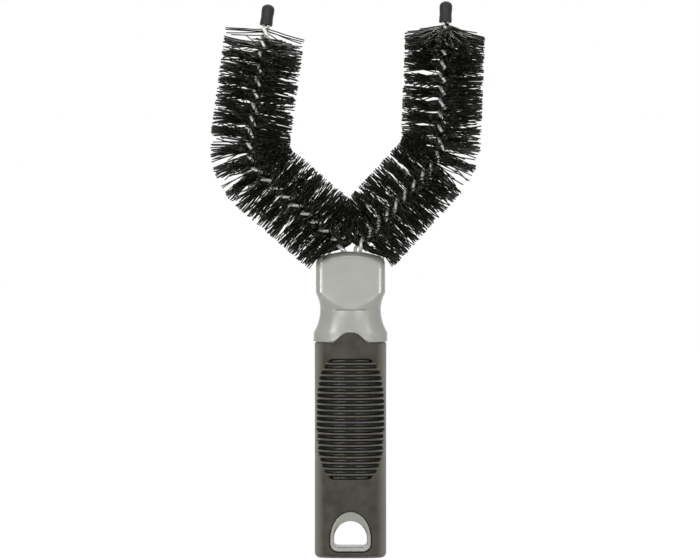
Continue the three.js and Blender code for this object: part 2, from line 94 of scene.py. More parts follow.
# Grooves of the grip
GROOVE_COUNT = 21
GROOVE_PITCH = 2.65
GROOVE_DEPTH = 1.3
GROOVE_LIP = 1.05  # half the height of a groove at its mouth
GROOVE_BELLY = 0.02  # share of the grip's radius by which a floor may lie under the groove's depth
CREST_SHARE = 0.3  # share of a groove's depth that still has the ribs' paler rubber, a painted highlight
PAD_BOTTOM = 37.9  # butt to the lowest groove
PAD_TOP = PAD_BOTTOM + (GROOVE_COUNT - 1) * GROOVE_PITCH
PAD_END = 2.4  # from the outermost grooves to the ends of the oval that they fill
PAD_WIDTH = 31.5
PAD_SQUARENESS = 3.2
PAD_FADE = 0.45  # length over which a groove comes up to the surface at its ends

# Hanging eye: a D, from which every ring of its rim is grown by margins
EYE_HEIGHT = 9.15  # butt to the widest place of the D
EYE_WIDTH = 14.3
EYE_ARCH = 7.75  # height of the D over that place
EYE_BASE = 4.05  # height of the D under it
EYE_CORNER = 1.6
EYE_CORNER_GROWTH = 0.9  # growth of the corners' radius for each millimetre of margin
EYE_RIM = 2.2  # width of the rim at the sides
EYE_SILL = 1.4  # width of the rim at the sill
EYE_BROW = 3  # further width of the rim at the brow
EYE_STEP = 0.35  # step in the front of the sill
EYE_RECESS = 0.5  # depth of the rim under the rubber
EYE_LINE = 0.16  # open line between the rim and the rubber
EYE_EDGE = 0.3  # rounding of the rubber's edge around it, which takes the nearly black rubber as a painted shadow line
EYE_FLARE = 1  # how far the cutter of the rubber's hole flares outside the rubber
SPINE_LAP = 0.5  # how far the rim runs into the spine around it

# Neck and head
NECK_CURVE = 2  # exponent of the neck's outline seen from the front
NECK_SLOPE = 1.25  # exponent of the outline below the waist, seen from the side
FLARE_RISE = 4.3  # height over the seam up to which the flare keeps its width
FLARE_DEPTH = SEAM_DEPTH + FLARE_WIDTH - GRIP_WIDTH
LIP_ROUND = 0.4
LIP_BEAD = 0.2  # swelling of the flare's lower edge
LIP_BEAD_HEIGHT = 0.7
WAIST_HEIGHT = GRIP_LENGTH + 14.8
WAIST_WIDTH = 27.9
WAIST_DEPTH = 19.5
HEAD_BASE = GRIP_LENGTH + 22.6
HEAD_WIDTH = 31.7
HEAD_DEPTH = 21.9
HEAD_FACE_DEPTH = 19.6
HEAD_SQUARENESS = 6
HEAD_SWELL = 1.4  # exponent of the growth in depth between the waist and the head
HEAD_SQUARING = 1.15  # the same for the squareness
FACE_EDGE = 0.75  # softness of the edge around the head's flat faces
FACE_EDGE_LEAST = 0.1  # share of the softness that is left down at the waist
CROWN_SAG = 1.9
CROWN_EDGE = 6  # rounding of the crown towards the front and the back
CROWN_MIDDLE = 0.03  # share of the crown that one flat face closes in its middle
SHOULDER_ROUND = 3.9
CROWN_HALF = HEAD_WIDTH / 2 - SHOULDER_ROUND
SHOULDER_HEIGHT = HANDLE_LENGTH - CROWN_SAG - SHOULDER_ROUND
CREASE_DEPTH = 0.35  # of the line that marks the waist under the head's flat faces
CREASE_HALF = 8.4
CREASE_FADE = 0.75  # share of that half where the line starts to fade out
CREASE_HEIGHT = 0.7

# Stems
WIRE_DIAMETER = 1.6
WIRE_ORBIT = 1.25  # from the middle of the stem to the middle of a wire
TWIST_PITCH = 11.9
STEM_OFFSET = 3.1  # from the middle plane, inside the head
ROOT_BEND = 8
ROOT_DEPTH = 1.35  # below the crown, where the stem starts to splay
ELBOW_BEND = 20
FOOT_BEND = 4.5
FOOT_DEPTH = 16  # below the crown
FOOT_COVER = 3  # plastic left beyond the end of a foot

# The two prongs. "splay" and "lean" are the angles of the lower and the upper run, and "run" and "rise" are
# their lengths. "turn" is the angle of the twist at the end of the root's bend, and "bare" is the stretch
# over the crown without strands. The other four say how strands drop, spread, thin out and crowd under the
# cap. Angles are in degrees.
LEFT = {"side": -1, "splay": 49.2, "lean": -7.8, "run": 44.2, "rise": 62.8, "turn": 128.4,
        "bare": 1.6, "tuft_drop": 6.5, "tuft_spread": 0, "tuft_thinning": 11, "tuft_crowd": 0}
RIGHT = {"side": 1, "splay": 42.4, "lean": 2.1, "run": 46.3, "rise": 64.2, "turn": 70.6,
         "bare": 2.6, "tuft_drop": 14, "tuft_spread": 38, "tuft_thinning": 0.4, "tuft_crowd": 4}

# Bristles
BRUSH_RADIUS = 18.6
FILAMENT_DIAMETER = 0.54
FILAMENTS_PER_MM = 11.5  # along the stem, each with a strand on both sides
FAN_SPREAD = 45  # degrees that the strands scatter to both sides of the slot between the wires
FAN_REACH = 11  # how far from the stem they have turned away from the slot
CLUMP_LENGTH = 2.4  # stretch of the stem whose strands lean together
CLUMP_LEAN = 2.4  # degrees that the clumps lean along the stem
CLUMP_PULL = 0.22  # share by which the tips of a clump draw together
ELBOW_CLUMP = 7  # length of a clump at an elbow, where the strands part from each other on the outside
ELBOW_PULL = 1.15  # share by which the tips of such a clump draw together
ELBOW_REACH = 13  # how far along the stem from the elbow's middle they do
STRAND_TILT = 5  # degrees that single strands lean along the stem
STRAND_BOW = 0.8  # bow of a strand along the stem
STRAND_STEPS = 5
STRAND_SPACING = 1.3  # exponent that draws the points of a strand towards the stem
STRAND_START = 0.5  # from the stem's middle
STRAND_SCATTER = 0.012  # share by which the lengths scatter
STRAND_TRIM = 0.4  # step by which a strand is cut back until it is clear of the other parts
STRAND_SHORTEST = 2
STRAND_SEED = 7
CUT_SHORT = 0.06  # share of the strands that are cut short
CUT_LENGTHS = (0.75, 0.97)  # limits of their share of the full length
CROSSING = (-7, -1)  # limits of how far a strand may cross the middle plane into the other brush
BARE_TIP = 0.2  # stretch under the cap without strands
HEAD_GAP = 0.6  # from the head to the strands
HEAD_PUSH = 6  # how far the head bends the tips of the lowest strands up along the stem
HEAD_PUSH_LENGTH = 9  # stretch of the stem where it does
HEAD_LAP = 3  # how far strands hang down in front of the head and behind it
TUFT_LENGTH = 18  # stretch of the stem under the cap where the strands are pressed down
TUFT_FALL = 30  # reach over which most of their drop builds up
TUFT_PRESS = 6  # drop at which they sway least
TUFT_STIFFNESS = 0.9  # share of their sway that they have lost by then
TUFT_SCATTER = (0.65, 1.15)  # limits of a strand's share of the drop
TUFT_FACING = 1.3  # share by which those that face the front or the back can drop further
THINNING_LEAD = 0.25  # share of the thinned stretch that lies beyond the cap's mouth
THINNING_CURVE = 1.6  # exponent of the thinning
CROWD_FOLD = 0.4  # share by which strands placed past the end fold back before it

# Tip caps
CAP_LENGTH = 9.8
CAP_RADIUS = 2.95
CAP_BORE = 2.35
CAP_END = 1.6
CAP_DOME = 2.4
CAP_BEVEL = 0.2  # longer leg of the bevels at the mouth
CAP_BEVEL_SHORT = 0.15
CAP_MOUTH = 0.5  # height over the mouth where the sleeve starts to draw in
CAP_WAIST = 0.16  # how far the sleeve is drawn in at its middle

# Fineness of the meshes
GRIP_SEGMENTS = 320
NECK_SEGMENTS = 192
EYE_SEGMENTS = 160
CAP_SEGMENTS = 40
TURN_STEPS = 18  # points in one turn of a wire
TINY = 0.000001  # keeps a divisor from zero
SAME_PLACE = 0.001  # points that are nearer than this become one

# Finishes and painted light
PAINTED_SHEEN_START = 11.5  # from the middle plane to the start of the painted sheen on the rubber's sides
POLISH_START = 8  # from the middle plane to where the polish of the grooves starts to fade
POLISH_END = 12  # from the middle plane to where it has gone
PATCH_LIMITS = (0.3, 0.7)  # range of the noise that mottling uses

# Studio
CAMERA_DISTANCE = 740
CAMERA_HEIGHT = 127.6
CAMERA_ACROSS = -0.23
SENSOR_WIDTH = 36
PICTURE_WIDTH = 700  # in pixels
PIXEL_SIZE = 0.46
FLOOR_HALF = 30000
TENT_LIGHT = 0.6  # strength of the world's light from the sides and from above
TENT_LEAST = 0.05  # strength from the front and the back
TENT_EDGE = 0.7  # Y of the directions from which on the light is least


def smoothstep(low, high, value):
    share = min(1, max(0, (value - low) / (high - low)))
    return share * share * (3 - 2 * share)


def mix(a, b, share):
    return a + (b - a) * share


def soft_minimum(a, b, softness):
    overlap = max(softness - abs(a - b), 0)
    return min(a, b) - overlap * overlap / (4 * softness)


def steps(low, high, count):
    """Values from low to high, both included, in equal steps."""
    return [mix(low, high, i / count) for i in range(count + 1)]


def quarter_turns(count):
    """Angles of a quarter turn, for a rounded edge."""
    return steps(0, math.pi / 2, count)


# Sections of the handle
def oval_reach(turn, width, depth, squareness):
    """How far an oval reaches from its centre in the direction of a turn."""
    across = abs(math.cos(turn)) / (width / 2)
    through = abs(math.sin(turn)) / (depth / 2)
    return (across ** squareness + through ** squareness) ** (-1 / squareness)


def grip_depth(height):
    swell = mix(BUTT_DEPTH, SWELL_DEPTH, smoothstep(0, SWELL_HEIGHT, height))
    return mix(swell, SEAM_DEPTH, smoothstep(SWELL_HEIGHT, GRIP_LENGTH, height))


def grip_squareness(height):
    return mix(BUTT_SQUARENESS, GRIP_SQUARENESS, smoothstep(0, BUTT_RISE, height))


def grip_point(turn, height, inset=0, share=1, depth_inset=None):
    width = GRIP_WIDTH - 2 * inset
    depth = grip_depth(height) - 2 * (inset if depth_inset is None else depth_inset)
    reach = share * oval_reach(turn, width, depth, grip_squareness(height))
    return Vector((reach * math.cos(turn), reach * math.sin(turn), height))


def grip_front(across, height):
    """Half the depth of the grip at a place on its front."""
    share = min(1, abs(across) / (GRIP_WIDTH / 2))
    squareness = grip_squareness(height)
    return grip_depth(height) / 2 * (1 - share ** squareness) ** (1 / squareness)


def seam_height(across):
    return GRIP_LENGTH + TONGUE_RISE * (1 - smoothstep(TONGUE_TOP / 2, TONGUE_WIDTH / 2, abs(across)))


def head_top(across):
    beyond = abs(across) - CROWN_HALF
    if beyond < 0:
        return HANDLE_LENGTH - CROWN_SAG * (across / CROWN_HALF) ** 2
    return SHOULDER_HEIGHT + math.sqrt(max(0, SHOULDER_ROUND ** 2 - beyond ** 2))


def neck_section(height):
    """Width, depth and squareness of the neck."""
    if height < WAIST_HEIGHT:
        below = min(1, (WAIST_HEIGHT - height) / (WAIST_HEIGHT - GRIP_LENGTH - FLARE_RISE))
        width = mix(WAIST_WIDTH, FLARE_WIDTH, below ** NECK_CURVE)
        down = (WAIST_HEIGHT - height) / (WAIST_HEIGHT - GRIP_LENGTH)
        return Vector((width, mix(WAIST_DEPTH, FLARE_DEPTH, down ** NECK_SLOPE), GRIP_SQUARENESS))
    above = min(1, (height - WAIST_HEIGHT) / (HEAD_BASE - WAIST_HEIGHT))
    width = mix(WAIST_WIDTH, HEAD_WIDTH, above ** NECK_CURVE)
    depth = mix(WAIST_DEPTH, HEAD_DEPTH, above ** HEAD_SWELL)
    return Vector((width, depth, mix(GRIP_SQUARENESS, HEAD_SQUARENESS, above ** HEAD_SQUARING)))


def neck_point(turn, height, inset=0):
    width, depth, squareness = neck_section(height)
    reach = oval_reach(turn, width - 2 * inset, depth - 2 * inset, squareness)
    x = reach * math.cos(turn)
    y = abs(reach * math.sin(turn))
    if height > WAIST_HEIGHT:
        softness = FACE_EDGE * max(FACE_EDGE_LEAST, smoothstep(WAIST_HEIGHT, HEAD_BASE, height))
        y = soft_minimum(y, HEAD_FACE_DEPTH / 2, softness)
    fade = 1 - smoothstep(CREASE_FADE * CREASE_HALF, CREASE_HALF, abs(x))
    y -= CREASE_DEPTH * fade * max(0, 1 - abs(height - WAIST_HEIGHT) / (CREASE_HEIGHT / 2))
    return Vector((x, math.copysign(y, math.sin(turn)), height))


def head_point(turn, drop):
    """A point on the head, a drop below the top of its outline. The head rounds over towards the crown,
    and its flat faces cut into the rounding."""
    reach = oval_reach(turn, HEAD_WIDTH, HEAD_DEPTH, HEAD_SQUARENESS)
    x = reach * math.cos(turn)
    inward = CROWN_EDGE - math.sqrt(CROWN_EDGE ** 2 - (CROWN_EDGE - drop) ** 2)
    y = abs(reach * math.sin(turn)) * (1 - inward / (HEAD_DEPTH / 2))
    y = soft_minimum(y, HEAD_FACE_DEPTH / 2, FACE_EDGE)
    return Vector((x, math.copysign(y, math.sin(turn)), head_top(x) - drop))


# Mesh making
def loft(rings, segments):
    """A closed skin through rings, each a function that gives the place of a turn about the axis.
    The first ring starts as a circle, and every other ring is extruded from the one before it."""
    shape = bmesh.new()
    turn_of = shape.verts.layers.float.new("turn")
    bmesh.ops.create_circle(shape, segments=segments, radius=1)
    for vert in shape.verts:
        vert[turn_of] = math.atan2(vert.co.y, vert.co.x)
    verts = shape.verts[:]
    edges = first_edges = shape.edges[:]
    for number, ring in enumerate(rings):
        if number:
            made = bmesh.ops.extrude_edge_only(shape, edges=edges)["geom"]
            verts = [item for item in made if isinstance(item, bmesh.types.BMVert)]
            edges = [item for item in made if isinstance(item, bmesh.types.BMEdge) and item.is_boundary]
        for vert in verts:
            vert.co = ring(vert[turn_of])
    bmesh.ops.edgeloop_fill(shape, edges=first_edges)
    bmesh.ops.edgeloop_fill(shape, edges=edges)
    bmesh.ops.recalc_face_normals(shape, faces=shape.faces)
    return shape


def mesh_of(shape, name):
    """The finished mesh of a shape in millimetres."""
    bmesh.ops.scale(shape, vec=Vector((MM, MM, MM)), verts=shape.verts)
    mesh = bpy.data.meshes.new(name)
    shape.to_mesh(mesh)
    shape.free()
    return mesh


def smooth(mesh, sharp_angle=40):
    mesh.shade_smooth()
    mesh.set_sharp_from_angle(angle=math.radians(sharp_angle))
    return mesh


def cut(mesh, cutter_mesh):
    """The mesh with the cutter's shape taken out of it."""
    body = bpy.data.objects.new("body", mesh)
    cutter = bpy.data.objects.new("cutter", cutter_mesh)
    for item in (body, cutter):
        bpy.context.scene.collection.objects.link(item)
    hole = body.modifiers.new("hole", "BOOLEAN")
    hole.operation = "DIFFERENCE"
    hole.solver = "EXACT"
    hole.object = cutter
    depsgraph = bpy.context.evaluated_depsgraph_get()
    result = bpy.data.meshes.new_from_object(body.evaluated_get(depsgraph))
    for item in (body, cutter):
        bpy.data.objects.remove(item)
    return result


def tubes(lines, radius, resolution):
    """Round tubes along lines of points, as one mesh."""
    curve = bpy.data.curves.new("lines", "CURVE")
    curve.dimensions = "3D"
    curve.bevel_depth = radius * MM
    curve.bevel_resolution = resolution
    curve.use_fill_caps = True
    for line in lines:
        spline = curve.splines.new("POLY")
        spline.points.add(len(line) - 1)
        for point, place in zip(spline.points, line):
            point.co = (*(place * MM), 1)
    holder = bpy.data.objects.new("lines", curve)
    mesh = bpy.data.meshes.new_from_object(holder)
    bpy.data.objects.remove(holder)
    bpy.data.curves.remove(curve)
    shape = bmesh.new()
    shape.from_mesh(mesh)
    bmesh.ops.recalc_face_normals(shape, faces=shape.faces)
    shape.to_mesh(mesh)
    shape.free()
    return mesh


def add_piece(name, mesh, materials, node):
    for material in materials:
        mesh.materials.append(material)
    piece = bpy.data.objects.new(name, mesh)
    bpy.context.scene.collection.objects.link(piece)
    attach(piece, "root")
    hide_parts(node)


# Materials
def linear(colour):
    """An sRGB hex colour as linear red, green, blue and alpha."""
    channels = [int(colour[i:i + 2], 16) / 255 for i in (1, 3, 5)]
    return [c / 12.92 if c <= 0.04045 else ((c + 0.055) / 1.055) ** 2.4 for c in channels] + [1]


def add_node(tree, kind, values=None, links=None, **settings):
    node = tree.nodes.new(kind)
    for name, value in settings.items():
        setattr(node, name, value)
    for socket, value in (values or {}).items():
        node.inputs[socket].default_value = value
    for socket, source in (links or {}).items():
        tree.links.new(source, node.inputs[socket])
    return node


def start_material(name, values):
    material = bpy.data.materials.new(name)
    material.use_nodes = True
    shader = material.node_tree.nodes["Principled BSDF"]
    for socket, value in values.items():
        shader.inputs[socket].default_value = value
    return material, material.node_tree, shader


def per_metre(size):
    """The texture scale that makes a pattern of this size in millimetres."""
    return 1 / (size * MM)


def mottled(tree, place, size, colours, detail=2):
    """A colour that wanders between two hex colours over patches of a size."""
    patches = add_node(tree, "ShaderNodeTexNoise", {"Scale": per_metre(size), "Detail": detail},
                       {"Vector": place})
    ramp = add_node(tree, "ShaderNodeValToRGB", links={"Fac": patches.outputs["Fac"]})
    for element, colour, position in zip(ramp.color_ramp.elements, colours, PATCH_LIMITS):
        element.color = linear(colour)
        element.position = position
    return ramp.outputs["Color"]


def silver_abs():
    """ABS with silver pigment from a finely spark-eroded mould: satin, with a faint cloudy flow of the
    pigment and a grain that softens every reflection."""
    material, tree, shader = start_material(
        "silver_abs", {"Metallic": 0.18, "Roughness": 0.26, "IOR": 1.54})
    place = add_node(tree, "ShaderNodeTexCoord").outputs["Object"]
    colour = mottled(tree, place, size=9, colours=("#9f9f98", "#a4a59e"))
    grain = add_node(tree, "ShaderNodeTexNoise", {"Scale": per_metre(0.35), "Detail": 1}, {"Vector": place})
    bump = add_node(tree, "ShaderNodeBump", {"Strength": 0.06, "Distance": 0.05 * MM},
                    {"Height": grain.outputs["Fac"]})
    tree.links.new(colour, shader.inputs["Base Color"])
    tree.links.new(bump.outputs["Normal"], shader.inputs["Normal"])
    return material


def towards_sides(tree, place, inner, outer, in_value, out_value):
    """A value that changes smoothly between two distances from the handle's middle plane."""
    axis = add_node(tree, "ShaderNodeSeparateXYZ", links={"Vector": place})
    across = add_node(tree, "ShaderNodeMath", links={0: axis.outputs["X"]}, operation="ABSOLUTE")
    limits = {"From Min": inner * MM, "From Max": outer * MM, "To Min": in_value, "To Max": out_value}
    change = add_node(tree, "ShaderNodeMapRange", limits, {"Value": across.outputs["Value"]},
                      interpolation_type="SMOOTHSTEP")
    return change.outputs["Result"]


def grip_rubber(name, colours):
    """Thermoplastic rubber from a matt mould: dark grey, a little cloudy, with a fine leathery grain. It is
    painted paler along both sides, a painted sheen where the sides turn away and catch grazing light. The
    crests of the ribs are painted paler too, with colours of their own, a painted highlight where they catch
    light."""
    material, tree, shader = start_material(
        name, {"Roughness": 0.6, "IOR": 1.52, "Specular IOR Level": 0.3,
               "Sheen Weight": 0.6, "Sheen Roughness": 0.4})
    place = add_node(tree, "ShaderNodeTexCoord").outputs["Object"]
    dark = mottled(tree, place, size=6, colours=colours, detail=4)
    # Painted sheen: the colour turns paler towards both sides, standing in for grazing light on the edges.
    painted_sheen = towards_sides(tree, place, PAINTED_SHEEN_START, GRIP_WIDTH / 2, 0, 1)
    blend = add_node(tree, "ShaderNodeMix", {"B": linear("#7d7c70")},
                     {"Factor": painted_sheen, "A": dark}, data_type="RGBA")
    grain = add_node(tree, "ShaderNodeTexNoise", {"Scale": per_metre(0.45), "Detail": 2}, {"Vector": place})
    bump = add_node(tree, "ShaderNodeBump", {"Strength": 0.15, "Distance": 0.08 * MM},
                    {"Height": grain.outputs["Fac"]})
    tree.links.new(blend.outputs["Result"], shader.inputs["Base Color"])
    tree.links.new(bump.outputs["Normal"], shader.inputs["Normal"])
    return material


def groove_rubber_painted_shade():
    """The same rubber where the mould is polished, in the grooves and on the edge around the eye: glossy, so
    that it takes glints, and painted nearly black, a painted shade for the depth of the grooves and a
    painted shadow line around the eye. It is matt at the ends of the grooves, where no polishing tool
    reaches."""
    material, tree, shader = start_material("groove_rubber_painted_shade", {"IOR": 1.52, "Specular IOR Level": 0.26})
    place = add_node(tree, "ShaderNodeTexCoord").outputs["Object"]
    # Nearly black: painted shade for the grooves' depth and painted shadow line around the eye.
    colour = mottled(tree, place, size=3, colours=("#050504", "#0a0907"))
    ripple = add_node(tree, "ShaderNodeTexNoise", {"Scale": per_metre(1.2), "Detail": 2}, {"Vector": place})
    bump = add_node(tree, "ShaderNodeBump", {"Strength": 0.2, "Distance": 0.05 * MM},
                    {"Height": ripple.outputs["Fac"]})
    tree.links.new(colour, shader.inputs["Base Color"])
    roughness = towards_sides(tree, place, POLISH_START, POLISH_END, 0.13, 0.8)
    tree.links.new(roughness, shader.inputs["Roughness"])
    tree.links.new(bump.outputs["Normal"], shader.inputs["Normal"])
    return material


def galvanised_steel_painted_bright():
    """Drawn steel wire with a thin zinc coat: a little cloudy, with faint dull patches. It is painted nearly
    white with little metal in it, a painted highlight that keeps the wire bright in the bristles' shade.
    """
    material, tree, shader = start_material("galvanised_steel_painted_bright", {"Metallic": 0.3})
    place = add_node(tree, "ShaderNodeTexCoord").outputs["Object"]
    # Nearly white base with a low metallic: a painted highlight, paler than zinc.
    colour = mottled(tree, place, size=1.5, colours=("#ebece6", "#f8f8f6"))
    patches = add_node(tree, "ShaderNodeTexNoise", {"Scale": per_metre(0.8), "Detail": 3},
                       {"Vector": place})
    dull = add_node(tree, "ShaderNodeMapRange", {"To Min": 0.3, "To Max": 0.5},
                    {"Value": patches.outputs["Fac"]})
    tree.links.new(colour, shader.inputs["Base Color"])
    tree.links.new(dull.outputs["Result"], shader.inputs["Roughness"])
    return material


def black_nylon():
    """Extruded nylon filament: black, semi-gloss, some strands a little greyer than others."""
    material, tree, shader = start_material(
        "black_nylon", {"Roughness": 0.32, "IOR": 1.53, "Specular IOR Level": 0.3})
    place = add_node(tree, "ShaderNodeTexCoord").outputs["Object"]
    colour = mottled(tree, place, size=1.1, colours=("#14130f", "#252419"))
    tree.links.new(colour, shader.inputs["Base Color"])
    return material


def dark_vinyl():
    """Dipped vinyl: dark grey and satin, with long faint streaks where it ran down and shrank."""
    material, tree, shader = start_material(
        "dark_vinyl", {"Roughness": 0.5, "IOR": 1.53, "Specular IOR Level": 0.3})
    place = add_node(tree, "ShaderNodeTexCoord").outputs["Object"]
    stretched = add_node(tree, "ShaderNodeMapping", {"Scale": (1, 1, 0.12)}, {"Vector": place})
    colour = mottled(tree, stretched.outputs["Vector"], size=1.2, colours=("#171815", "#20211d"))
    streaks = add_node(tree, "ShaderNodeTexNoise", {"Scale": per_metre(0.9), "Detail": 2},
                       {"Vector": stretched.outputs["Vector"]})
    bump = add_node(tree, "ShaderNodeBump", {"Strength": 0.3, "Distance": 0.1 * MM},
                    {"Height": streaks.outputs["Fac"]})
    tree.links.new(colour, shader.inputs["Base Color"])
    tree.links.new(bump.outputs["Normal"], shader.inputs["Normal"])
    return material


# Grip sleeve
def pad_reach(height):
    """Half the width of the oval that the grooves fill, at a height."""
    along = abs(height - (PAD_BOTTOM + PAD_TOP) / 2) / ((PAD_TOP - PAD_BOTTOM) / 2 + PAD_END)
    return PAD_WIDTH / 2 * max(0, 1 - along ** PAD_SQUARENESS) ** (1 / PAD_SQUARENESS)


def groove_point(turn, height, sunk):
    """A point on the grip that is sunk by a share of the groove's depth, within the oval of the grooves."""
    across = abs(grip_point(turn, height).x)
    fade = smoothstep(0, PAD_FADE, pad_reach(height) - across)
    return grip_point(turn, height, share=1 - fade * sunk * GROOVE_DEPTH / (SWELL_DEPTH / 2))


def grip_rings():
    """From the butt up the outside to the seam, and down inside the wall to the floor of the hollow."""
    def edge_height(turn, inset):
        return seam_height(grip_point(turn, GRIP_LENGTH, inset=inset).x) + GAP / 2 - SEAM_GAP

    def step_height(turn, inset):
        return edge_height(turn, inset) + SEAM_GAP - GAP

    rings = []
    for angle in quarter_turns(count=10):
        inward, height = 1 - math.sin(angle), BUTT_ROUND * (1 - math.cos(angle))
        rings.append(lambda turn, i=inward, h=height: grip_point(
            turn, h, inset=i * BUTT_ROUND, depth_inset=i * BUTT_ROUND_DEPTH))
    for height in steps(BUTT_ROUND, PAD_BOTTOM - GROOVE_PITCH, count=24)[1:]:
        rings.append(lambda turn, h=height: grip_point(turn, h))
    # Half a groove: shares of its lip from its middle, and shares of its depth
    wall = ((-1, 0), (-0.9, 0.08), (-0.82, 0.85), (-0.68, 1), (-0.34, 1.11))
    groove = [*wall, (0, 1.15), *[(-offset, sunk) for offset, sunk in reversed(wall)]]
    for number in range(GROOVE_COUNT):
        middle = PAD_BOTTOM + number * GROOVE_PITCH
        for offset, sunk in groove:
            height = middle + offset * GROOVE_LIP
            rings.append(lambda turn, h=height, s=sunk: groove_point(turn, h, s))
    start = PAD_TOP + GROOVE_PITCH
    for share in steps(0, 1, count=8):
        rings.append(lambda turn, s=share: grip_point(
            turn, mix(start, edge_height(turn, 0) - RUBBER_EDGE, s)))
    for angle in quarter_turns(count=4)[1:]:
        inset, drop = RUBBER_EDGE * (1 - math.cos(angle)), RUBBER_EDGE * (1 - math.sin(angle))
        rings.append(lambda turn, i=inset, d=drop: grip_point(turn, edge_height(turn, i) - d, inset=i))
    rings.append(lambda turn: grip_point(turn, edge_height(turn, SEAM_STEP), inset=SEAM_STEP))
    rings.append(lambda turn: grip_point(turn, step_height(turn, SEAM_STEP), inset=SEAM_STEP))
    inside = GRIP_WALL - GAP
    floor = BUTT_WALL - GAP
    for share in steps(0, 1, count=10):
        rings.append(lambda turn, s=share: grip_point(
            turn, mix(step_height(turn, inside), floor, s), inset=inside))
    return rings


def eye_point(turn, sides, sill, brow):
    """A point on the D of the eye, grown by margins at its sides, its sill and its brow."""
    half, base, arch = EYE_WIDTH / 2 + sides, EYE_BASE + sill, EYE_ARCH + brow
    across, up = math.cos(turn), math.sin(turn)
    if up > 0:
        reach = oval_reach(turn, 2 * half, 2 * arch, 2)
        return reach * across, EYE_HEIGHT + reach * up
    corner = EYE_CORNER + EYE_CORNER_GROWTH * sides
    reach = min(half / max(abs(across), TINY), base / max(-up, TINY))
    in_corner = reach * abs(across) > half - corner and -reach * up > base - corner
    if in_corner:
        middle = Vector((half - corner, corner - base))
        along = middle.dot(Vector((abs(across), up)))
        reach = along + math.sqrt(max(0, along ** 2 - middle.length_squared + corner ** 2))
    return reach * across, EYE_HEIGHT + reach * up


def rim_point(turn, margin):
    """A point on the outside of the eye's rim, grown by a margin."""
    return eye_point(turn, EYE_RIM + margin, EYE_SILL + margin, EYE_RIM + EYE_BROW + margin)


def beyond_grip(margin, face):
    """A ring of the rim's outline, grown by a margin, in front of the grip or behind it (face -1 or 1)."""
    def ring(turn):
        x, z = rim_point(turn, margin)
        return Vector((x, face * SWELL_DEPTH, z))
    return ring


def eye_cutter():
    """The hole in the rubber around the rim, with its mouths rounded over to the grip's surface."""
    # Margins outside the open line, and heights over the surface
    mouth = ((0.55, 0.5), (0.3, 0.06), (0.14, -0.09), (0.04, -0.27), (0, -0.5), (0, -2))

    def at_surface(margin, rise, face):
        def ring(turn):
            x, z = rim_point(turn, EYE_LINE + margin)
            return Vector((x, face * (grip_front(x, z) + rise), z))
        return ring

    flare = EYE_LINE + EYE_FLARE
    front = [beyond_grip(flare, -1), *[at_surface(margin, rise, -1) for margin, rise in mouth]]
    back = [*[at_surface(margin, rise, 1) for margin, rise in reversed(mouth)], beyond_grip(flare, 1)]
    return mesh_of(loft(front + back, EYE_SEGMENTS), "eye_cutter")


def grip_finish_and_painted_light(middle):
    """The finish of a face of the grip, by its middle: 0 for plain rubber, 1 for the nearly black glossy
    rubber on the floor and the walls of a groove and on the edge around the eye, a painted shade, 2 for the
    paler rubber on the crest of a rib, a painted highlight."""
    up = middle.z - EYE_HEIGHT
    # A ring of nearly black rubber around the eye: a painted shadow line between the rubber and the rim.
    edge_x, edge_z = rim_point(math.atan2(up, middle.x), EYE_LINE + EYE_EDGE)
    if math.hypot(middle.x, up) < math.hypot(edge_x, edge_z - EYE_HEIGHT):
        return 1
    turn = math.atan2(middle.y, middle.x)
    share = math.hypot(middle.x, middle.y) / grip_point(turn, middle.z).to_2d().length
    floor = 1 - GROOVE_DEPTH / (SWELL_DEPTH / 2)
    on_pad = PAD_BOTTOM - GROOVE_LIP < middle.z < PAD_TOP + GROOVE_LIP
    if not on_pad or share < floor - GROOVE_BELLY:
        return 0
    # Floors and walls of the grooves take the nearly black rubber, painted shade.
    if share < mix(1, floor, CREST_SHARE):
        return 1
    # Crests of the ribs take the paler rib rubber, a painted highlight.
    return 2 if PAD_BOTTOM < middle.z < PAD_TOP and abs(middle.x) < pad_reach(middle.z) else 0


def grip_sleeve():
    mesh = cut(mesh_of(loft(grip_rings(), GRIP_SEGMENTS), "grip"), eye_cutter())
    for face in mesh.polygons:
        face.material_index = grip_finish_and_painted_light(face.center / MM)
    plain = grip_rubber("grip_rubber", ("#2d2921", "#454339"))
    # The ribs' crests get a paler copy of the rubber, a painted highlight.
    ribs = grip_rubber("rib_rubber_painted_highlight", ("#504d43", "#5b584d"))
    add_piece("rubber_grip", smooth(mesh), [plain, groove_rubber_painted_shade(), ribs], "grip_sleeve")


